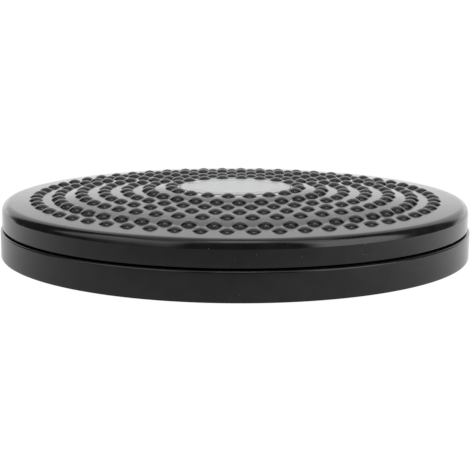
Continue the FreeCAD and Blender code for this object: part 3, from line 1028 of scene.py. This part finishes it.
@dataclass
class TurningPlatform:
    """The turning half: crowned deck, shoulder, skirt, hub, ribs and bumps.

    Attributes:
        crown: Its top surface.
        bumps: Its rings of bumps.
        radius: Its outer radius.
        bottom: The height of its skirt's lower edge.
        shoulder: The radius of its rounded shoulder.
        shoulder_turn: The angle that the shoulder's arc turns through, in degrees.
        shoulder_straight: The length of the straight between that arc and the skirt's crease.
        lower_edge: The radius of the skirt's lower edge.
        wall: Its wall.
        rib_wall: The wall of its ribs.
        badge_bore: The radius of the badge's recess.
        lip: The radius of the recess's upper edge.
        badge_floor: The height of the recess's floor.
        recess: The radius of the nut's recess.
        flange_seat: The height of the bush's seat.
        hub_bore: The radius of the hub's bore.
        hub_radius: The hub's outer radius.
        hub_bottom: The height of the hub's lower end.
        rib_seat: The height of the ribs' lower edges, which carry the race.
        race_seats: The inner radii of the two rings under the race's edges.
        screw_circle: The radius of the circle of screw bosses.
        ring_count: How many ribs run round.
        spoke_count: How many ribs run outward.
        segments: How many faces go round.
        crisp: How far from the skirt's crease the faces that keep it sharp end.
        crease_guard: The same for the creases of the crown.
        shoulder_steps: How many pieces the shoulder's arc has.
        arc_steps: How many pieces each arc of the crown has.
        land_steps: How many pieces the land has.
        middle_steps: How many pieces the cone between the two steps has.
        skirt_steps: How many pieces the skirt has.
        lip_steps: How many pieces the recess's upper edge has.
    """

    crown: Crown = field(default_factory=Crown)
    bumps: BumpField = field(default_factory=BumpField)
    radius: float = 138.8 * MM
    bottom: float = 17.5 * MM
    shoulder: float = 4.5 * MM
    shoulder_turn: float = 76.0
    shoulder_straight: float = 1.43 * MM
    lower_edge: float = 0.5 * MM
    wall: float = 3.0 * MM
    rib_wall: float = 2.0 * MM
    badge_bore: float = 33.6 * MM
    lip: float = 0.3 * MM
    badge_floor: float = 37.3 * MM
    recess: float = 14.5 * MM
    flange_seat: float = 25.8 * MM
    hub_bore: float = 10.05 * MM
    hub_radius: float = 18.0 * MM
    hub_bottom: float = 16.8 * MM
    rib_seat: float = 23.9 * MM
    race_seats: tuple[float, float] = (76.0 * MM, 94.0 * MM)
    screw_circle: float = 93.4 * MM
    ring_count: int = 4
    spoke_count: int = 12
    segments: int = 240
    crisp: float = 0.15 * MM
    crease_guard: float = 0.2 * MM
    shoulder_steps: int = 18
    arc_steps: int = 14
    land_steps: int = 8
    middle_steps: int = 6
    skirt_steps: int = 4
    lip_steps: int = 3

    def shoulder_outline(self) -> list[Point]:
        """Gives the section from the skirt's crease up the straight and over the rounded shoulder."""
        radius, turn = self.shoulder, math.radians(self.shoulder_turn)
        level = math.radians(self.crown.slope_degrees)
        centre = (self.crown.edge - radius * math.sin(level), self.crown.land - radius * math.cos(level))
        crease = centre[1] + radius * math.cos(turn) - self.shoulder_straight * math.sin(turn)
        above = (self.radius - self.crisp * math.cos(turn), crease + self.crisp * math.sin(turn))
        start, end = 90.0 - self.shoulder_turn, 90.0 - self.crown.slope_degrees
        arc = arc_points(centre, radius, start, end, self.shoulder_steps)
        return [(self.radius, crease - self.crisp), (self.radius, crease), above] + arc

    def crown_outline(self) -> list[Point]:
        """Gives the top surface's section from the shoulder in to the badge's recess."""
        outer, centre = self.crown.steps
        land_edge = self.shoulder_outline()[-1][0]
        radii = [p[0] for p in even_points((land_edge, 0.0), (outer.crease, 0.0), self.land_steps)]
        for step in self.crown.steps:
            radii += [step.crease + self.crease_guard, step.crease - self.crease_guard]
            radii += [step.crease - step.run * part / self.arc_steps for part in range(self.arc_steps + 1)]
        middle = even_points((outer.top, 0.0), (centre.crease, 0.0), self.middle_steps)
        radii += [p[0] for p in middle]
        points = [(radius, self.crown.height(radius)) for radius in sorted(set(radii), reverse=True)]
        rim = self.crown.height(self.badge_bore + self.lip) - self.lip
        lip = arc_points((self.badge_bore + self.lip, rim), self.lip, 90.0, 180.0, self.lip_steps)
        return [p for p in points if p[0] > lip[0][0]] + lip

    def outline(self) -> list[Point]:
        """Gives the whole section as a loop, from the skirt's lower edge outward, over the top and back."""
        low, r, shoulder = self.lower_edge, self.radius, self.shoulder_outline()
        skirt = arc_points((r - low, self.bottom + low), low, -90.0, 0.0, EDGE_STEPS)
        skirt += even_points((r, self.bottom + low), shoulder[0], self.skirt_steps) + shoulder
        hub = [
            (self.badge_bore, self.badge_floor), (self.recess, self.badge_floor),
            (self.recess, self.flange_seat), (self.hub_bore, self.flange_seat),
            (self.hub_bore, self.hub_bottom), (self.hub_radius, self.hub_bottom),
        ]
        outer, centre = self.crown.steps
        under = [self.hub_radius, self.crown.centre, centre.top, centre.crease]
        under += [outer.top, outer.crease, r - self.wall - self.wall]
        roof = [(radius, self.crown.height(radius) - self.wall) for radius in under]
        inner = r - self.wall
        closing = [(inner, self.crown.land - self.wall - self.wall), (inner, self.bottom)]
        return skirt + self.crown_outline() + hub + roof + closing

    def seat_outline(self, inner: float) -> list[Point]:
        """Gives the section of one upright ring that carries the race.

        Args:
            inner: The ring's inner radius.

        Returns:
            Its section as a loop.
        """
        outer = inner + self.rib_wall
        roof = [self.crown.height(radius) - self.wall / 2 for radius in (inner, outer)]
        return [(inner, self.rib_seat), (outer, self.rib_seat), (outer, roof[1]), (inner, roof[0])]

    def build(self, shop: Workshop) -> None:
        """Builds the moulding and stands it for its node.

        Args:
            shop: The trees and finishes.
        """
        finish = shop.finishes[Slot.GLOSS]
        shell = turned("platform_deck", self.outline(), self.segments, finish)
        values = {"Inner Radius": self.hub_radius, "Outer Radius": self.radius - self.wall}
        values |= {"Bottom": self.rib_seat, "Top": self.crown.top, "Wall": self.rib_wall, "Follow Crown": 1.0}
        values |= {"Ring Count": self.ring_count, "Spoke Count": self.spoke_count, "Depth": self.wall / 2}
        grown(shell, shop.rib_web, values | self.crown.inputs() | {"Material": finish})
        sections = [self.seat_outline(inner) for inner in self.race_seats]
        seats = [turned("race_seat", section, RING_FACES, finish) for section in sections]
        roof = self.crown.height(self.screw_circle) - self.wall / 2
        bosses = shop.screw_bosses(self.screw_circle, self.rib_seat, roof)
        piece = joined_piece("platform_moulding", [shell, *seats, bosses, self.bumps.build(shop, self.crown)])
        settle(piece, Body.PLATFORM, Slot.GLOSS, "platform_shell")


@dataclass
class BadgePlate:
    """The bare metal plate at the centre, with one raised rim line.

    Attributes:
        radius: The plate's radius.
        bottom: The height of its underside.
        thickness: Its thickness.
        edge: The radius of its upper edge.
        line_radius: The outer radius of the rim line.
        line_width: The line's width.
        line_height: How far the line stands up.
        line_steps: How many pieces the line's section has.
        face_steps: How many pieces the face inside the line has.
        segments: How many faces go round.
    """

    radius: float = 33.4 * MM
    bottom: float = 37.3 * MM
    thickness: float = 0.8 * MM
    edge: float = 0.3 * MM
    line_radius: float = 27.6 * MM
    line_width: float = 1.2 * MM
    line_height: float = 0.2 * MM
    line_steps: int = 8
    face_steps: int = 6
    segments: int = RING_FACES

    def build(self, shop: Workshop) -> None:
        """Builds the plate and stands it for its node.

        Args:
            shop: The trees and finishes.
        """
        top = self.bottom + self.thickness
        outline = [(0.0, self.bottom), (self.radius, self.bottom)]
        outline += arc_points((self.radius - self.edge, top - self.edge), self.edge, 0.0, 90.0, EDGE_STEPS)
        middle = self.line_radius - self.line_width / 2
        for step in range(self.line_steps + 1):
            share = step / self.line_steps
            lift = self.line_height * math.sin(math.pi * share) ** 2
            outline.append((middle + self.line_width * (0.5 - share), top + lift))
        outline += even_points((self.line_radius - self.line_width, top), (0.0, top), self.face_steps)
        outline.append((0.0, top))
        piece = turned("badge_plate_bare", outline, self.segments, shop.finishes[Slot.PLATE])
        settle(piece, Body.PLATFORM, Slot.PLATE, "badge_plate")


@dataclass
class StandingBase:
    """The standing half: outer wall, lip, deck, guard ring, hub, ribs and foot pads.

    Attributes:
        radius: Its outer radius.
        height: The height of its lip.
        lift: How far its wall stands off the floor.
        lower_edge: The radius of the wall's lower edge.
        upper_edge: The radius of the lip's edge.
        upper_steps: How many pieces that edge has.
        wall_steps: How many pieces the outer wall has.
        wall: Its wall.
        deck_top: The height of the deck, which carries the race.
        guard_outer: The outer radius of the guard ring in the turning gap.
        guard_wall: The guard ring's wall.
        guard_top: The height of its top.
        hub_radius: The hub's outer radius.
        hub_top: The height of its top.
        bolt_bore: The radius of the bolt's hole.
        pocket_ceiling: The height of the ceiling of the bolt head's pocket.
        pocket_radius: That pocket's radius.
        hub_skirt: The outer radius of the wall round it.
        rib_bottom: The height of the ribs' lower edges.
        rib_wall: The wall of its ribs.
        ring_count: How many ribs run round.
        spoke_count: How many ribs run outward.
        foot_circle: The radius of the circle of feet.
        foot_count: How many feet there are.
        pad_radius: The radius of the pad that holds a foot.
        foot_radius: A foot's radius.
        foot_gap: The gap round it in its pad.
        foot_height: A foot's height.
        foot_edge: The radius of its lower edge.
        groove: The depth of a groove in its tread, and half its width.
        groove_pitch: The distance between such grooves.
        groove_count: How many grooves a foot has.
        screw_circle: The radius of the circle of screw bosses.
        boss_bottom: The height of the bosses' lower ends.
        segments: How many faces go round.
    """

    radius: float = 140.0 * MM
    height: float = 16.4 * MM
    lift: float = 0.5 * MM
    lower_edge: float = 0.4 * MM
    upper_edge: float = 1.0 * MM
    upper_steps: int = 6
    wall_steps: int = 5
    wall: float = 3.0 * MM
    deck_top: float = 13.4 * MM
    guard_outer: float = 132.9 * MM
    guard_wall: float = 2.0 * MM
    guard_top: float = 20.7 * MM
    hub_radius: float = 20.0 * MM
    hub_top: float = 15.4 * MM
    bolt_bore: float = 4.05 * MM
    pocket_ceiling: float = 9.6 * MM
    pocket_radius: float = 9.006 * MM
    hub_skirt: float = 14.006 * MM
    rib_bottom: float = 2.0 * MM
    rib_wall: float = 2.0 * MM
    ring_count: int = 5
    spoke_count: int = 16
    foot_circle: float = 124.0 * MM
    foot_count: int = 8
    pad_radius: float = 11.0 * MM
    foot_radius: float = 9.0 * MM
    foot_gap: float = 0.05 * MM
    foot_height: float = 3.0 * MM
    foot_edge: float = 0.6 * MM
    groove: float = 0.4 * MM
    groove_pitch: float = 2.2 * MM
    groove_count: int = 3
    screw_circle: float = 93.4 * MM
    boss_bottom: float = 5.4 * MM
    segments: int = 240

    @property
    def foot_phase(self) -> float:
        """The first foot's turn, midway between two spokes."""
        return math.pi / self.spoke_count

    def outline(self) -> list[Point]:
        """Gives the section as a loop, from the wall's lower edge outward, over the deck and back."""
        r, low, high = self.radius, self.lower_edge, self.upper_edge
        wall = arc_points((r - low, self.lift + low), low, -90.0, 0.0, EDGE_STEPS)
        wall += even_points((r, self.lift + low), (r, self.height - high), self.wall_steps)
        wall += arc_points((r - high, self.height - high), high, 0.0, 90.0, self.upper_steps)
        inner = r - self.wall
        guard = self.guard_outer - self.guard_wall
        deck = [
            (inner, self.height), (inner, self.deck_top), (self.guard_outer, self.deck_top),
            (self.guard_outer, self.guard_top), (guard, self.guard_top), (guard, self.deck_top),
            (self.hub_radius, self.deck_top), (self.hub_radius, self.hub_top), (self.bolt_bore, self.hub_top),
            (self.bolt_bore, self.pocket_ceiling), (self.pocket_radius, self.pocket_ceiling),
            (self.pocket_radius, self.rib_bottom), (self.hub_skirt, self.rib_bottom),
            (self.hub_skirt, self.deck_top - self.wall), (inner, self.deck_top - self.wall),
            (inner, self.lift),
        ]
        return wall + deck

    def build(self, shop: Workshop) -> None:
        """Builds the moulding and its feet, and stands them for their nodes.

        Args:
            shop: The trees and finishes.
        """
        finish = shop.finishes[Slot.GLOSS]
        shell = turned("base_tray", self.outline(), self.segments, finish)
        top = self.deck_top - self.wall / 2
        values = {"Inner Radius": self.hub_skirt, "Outer Radius": self.radius - self.wall}
        values |= {"Bottom": self.rib_bottom, "Top": top, "Wall": self.rib_wall}
        values |= {"Ring Count": self.ring_count, "Spoke Count": self.spoke_count}
        values |= {"Follow Crown": 0.0, "Depth": 0.0, "Material": finish}
        grown(shell, shop.rib_web, values | Crown().inputs())
        socket = self.foot_radius + self.foot_gap
        outline = [(0.0, top), (self.pad_radius, top), (self.pad_radius, self.rib_bottom)]
        outline += [(socket, self.rib_bottom), (socket, self.foot_height), (0.0, self.foot_height)]
        pads = turned("foot_pads", outline, SMALL_RING_FACES, finish, (self.foot_circle, 0.0))
        shop.repeat(pads, self.foot_count, self.foot_phase, Slot.GLOSS)
        bosses = shop.screw_bosses(self.screw_circle, self.boss_bottom, top)
        piece = joined_piece("base_moulding", [shell, pads, bosses])
        settle(piece, Body.BASE, Slot.GLOSS, "base_housing")
        self.build_feet(shop)

    def build_feet(self, shop: Workshop) -> None:
        """Builds the rubber feet with a ringed tread.

        Args:
            shop: The trees and finishes.
        """
        r, edge, groove = self.foot_radius, self.foot_edge, self.groove
        outline = [(0.0, self.foot_height), (r, self.foot_height)]
        outline += arc_points((r - edge, edge), edge, 0.0, -90.0, EDGE_STEPS)
        for ring in range(self.groove_count, 0, -1):
            middle = ring * self.groove_pitch
            outline += [(middle + groove, 0.0), (middle + groove / 2, groove)]
            outline += [(middle - groove / 2, groove), (middle - groove, 0.0)]
        outline.append((0.0, 0.0))
        finish, place = shop.finishes[Slot.RUBBER], (self.foot_circle, 0.0)
        feet = turned("feet_rubber", outline, SMALL_RING_FACES, finish, place)
        shop.repeat(feet, self.foot_count, self.foot_phase, Slot.RUBBER)
        settle(feet, Body.BASE, Slot.RUBBER, "rubber_feet")


@dataclass
class InnerWorks:
    """The bearing and the bolt stack, which keep their own shapes.

    Attributes:
        zinc: The nodes of zinc plated steel.
        nylon: The nodes of nylon.
        races: The two rings that the balls run between.
    """

    zinc: tuple[str, ...] = (
        "lower_race_screws", "upper_race_screws", "centre_bolt", "bolt_washer", "spacer_sleeve",
        "retaining_washer", "spring_washer", "lock_nut",
    )
    nylon: tuple[str, ...] = ("thrust_washer", "hub_bush", "ball_cage")
    races: tuple[str, ...] = ("lower_race", "upper_race")

    def build(self, shop: Workshop) -> None:
        """Dresses every inner node.

        Args:
            shop: The trees and finishes.
        """
        shop.dress_nodes(Slot.ZINC, *self.zinc)
        shop.dress_nodes(Slot.NYLON, *self.nylon)
        shop.dress_nodes(Slot.RACE, *self.races)
        shop.dress_nodes(Slot.BALL, "bearing_balls")
        shop.dress_nodes(Slot.SATIN, "underside_cap")


@dataclass(frozen=True)
class SoftBox:
    """One soft light of the room, as a stretch of directions seen from the disc.

    Attributes:
        turn: Its middle, in degrees from straight back towards the right.
        half_width: Half its width, in degrees.
        low: The angle over the floor where it starts.
        high: The angle over the floor where it ends.
        strength: How bright it is.
        soft: How wide its edges fade, in degrees.
    """

    turn: float
    half_width: float
    low: float
    high: float
    strength: float
    soft: float = 8.0

    def light(
        self, bench: Bench, turn: bpy.types.NodeSocket, rise: bpy.types.NodeSocket
    ) -> bpy.types.NodeSocket:
        """Adds the nodes that give the box's light in a direction.

        Args:
            bench: The world tree's bench.
            turn: The direction's turn from straight back.
            rise: Its angle over the floor.

        Returns:
            The strength's socket.
        """
        fade = math.radians(self.soft / 2)
        half, low, high = (math.radians(angle) for angle in (self.half_width, self.low, self.high))
        away = bench.math("SUBTRACT", turn, math.radians(self.turn))
        away = bench.math("ABSOLUTE", bench.math("WRAP", away, math.pi, -math.pi))
        wide = bench.spread(away, half - fade, half + fade, self.strength, 0.0)
        over = bench.spread(rise, low - fade, low + fade)
        under = bench.spread(rise, high - fade, high + fade, 1.0, 0.0)
        return bench.math("MULTIPLY", wide, bench.math("MULTIPLY", over, under))


@dataclass
class Studio:
    """A pale floor, a room of soft boxes and the photograph's camera.

    Attributes:
        pixels: The photograph's width in pixels.
        focal_pixels: The camera's focal length in pixels.
        distance: How far the camera is from the origin.
        elevation: The camera's angle over the floor, in degrees.
        origin_drop: How far below the frame's middle the origin lies, in pixels.
        roll: The camera's roll, in degrees.
        sensor: The camera's sensor width in millimetres.
        near_clip: How near to the camera things still show.
        floor_size: The floor's width.
        floor_front: How bright the disc sees the floor on the camera's side.
        floor_back: How bright it sees the floor behind it.
        floor_fade: The places in depth where the floor's shading starts and ends.
        floor_skew: How much a place to the right counts as further back.
        floor_sides: How much a place at either side counts as further back.
        dim: The room's light between the soft boxes.
        boxes: The soft boxes.
    """

    pixels: float = 470.0
    focal_pixels: float = 1090.8
    distance: float = 668.6 * MM
    elevation: float = 11.413
    origin_drop: float = 12.73
    roll: float = 0.264
    sensor: float = 36.0
    near_clip: float = 10.0 * MM
    floor_size: float = 40.0
    floor_front: float = 0.26
    floor_back: float = 1.0
    floor_fade: tuple[float, float] = (-0.35, 0.3)
    floor_skew: float = 0.35
    floor_sides: float = 0.6
    dim: float = 0.03
    # The back wall and its foot, the ceiling, a strip over the camera and its bright core, the right
    # side and its upper part, and the left side and its upper part.
    boxes: tuple[SoftBox, ...] = (
        SoftBox(2.0, 46.0, -6.0, 62.0, 0.92, 14.0),
        SoftBox(0.0, 40.0, -6.0, 9.0, 0.35, 8.0),
        SoftBox(0.0, 190.0, 62.0, 100.0, 0.5),
        SoftBox(168.0, 60.0, 58.0, 87.0, 0.6, 6.0),
        SoftBox(172.0, 45.0, 75.0, 86.0, 2.6, 5.0),
        SoftBox(118.0, 24.0, 8.0, 46.0, 2.3, 12.0),
        SoftBox(126.0, 18.0, 46.0, 62.0, 1.4),
        SoftBox(-118.0, 34.0, 16.0, 58.0, 1.1, 12.0),
        SoftBox(-116.0, 28.0, 38.0, 54.0, 0.4),
    )

    def build_camera(self) -> None:
        """Sets the camera where the photograph was taken."""
        data = bpy.data.cameras.new("photo_camera")
        data.sensor_width = self.sensor
        data.lens = self.focal_pixels / self.pixels * self.sensor
        data.clip_start = self.near_clip
        camera = placed("photo_camera", data)
        rise = math.radians(self.elevation)
        place = Vector((0.0, -math.cos(rise), math.sin(rise))) * self.distance
        pitch = math.radians(90.0) - rise + math.atan(self.origin_drop / self.focal_pixels)
        turn = Matrix.Rotation(pitch, 4, "X") @ Matrix.Rotation(math.radians(self.roll), 4, "Z")
        camera.matrix_world = Matrix.Translation(place) @ turn
        bpy.context.scene.camera = camera

    def build_floor(self) -> None:
        """Lays the floor: white to the camera, and shaded from back to front as the disc sees it."""
        shell = bmesh.new()
        bmesh.ops.create_grid(shell, x_segments=1, y_segments=1, size=self.floor_size / 2)
        made = bpy.data.materials.new("pale_floor")
        made.use_nodes = True
        bench = Bench(made.node_tree)
        bench.tree.nodes.clear()
        x, y, _ = bench.split(bench.place())
        aside = bench.math("MULTIPLY", bench.math("ABSOLUTE", x), self.floor_sides)
        back = bench.math("ADD", bench.math("MULTIPLY_ADD", x, self.floor_skew, y), aside)
        strength = bench.spread(back, *self.floor_fade, self.floor_front, self.floor_back)
        strength = bench.white_to_camera(strength)
        light = bench.node("ShaderNodeEmission", {"Color": WHITE, "Strength": strength})
        bench.node("ShaderNodeOutputMaterial", {"Surface": light.outputs[0]})
        new_piece("floor", shell, made)

    def build_world(self) -> None:
        """Makes the room: dim all round, with the soft boxes in it."""
        world = bpy.data.worlds.new("studio")
        world.use_nodes = True
        bpy.context.scene.world = world
        bench = Bench(world.node_tree)
        bench.tree.nodes.clear()
        x, y, z = bench.split(bench.node("ShaderNodeTexCoord").outputs["Generated"])
        turn, rise = bench.math("ARCTAN2", x, y), bench.math("ARCSINE", z)
        strength = self.dim
        for box in self.boxes:
            strength = bench.math("ADD", strength, box.light(bench, turn, rise))
        strength = bench.white_to_camera(strength)
        sky = bench.node("ShaderNodeBackground", {"Color": WHITE, "Strength": strength})
        bench.node("ShaderNodeOutputWorld", {"Surface": sky.outputs[0]})

    def build(self) -> None:
        """Builds the camera, floor and room, and keeps colours as they are lit."""
        self.build_camera()
        self.build_floor()
        self.build_world()
        bpy.context.scene.view_settings.view_transform = "Standard"


def main() -> None:
    """Builds every sub-assembly and the studio."""
    logging.basicConfig(level=logging.INFO, format="%(message)s")
    shop = Workshop()
    for assembly in (TurningPlatform(), BadgePlate(), StandingBase(), InnerWorks()):
        assembly.build(shop)
    Studio().build()


if __name__ == "__main__":
    main()
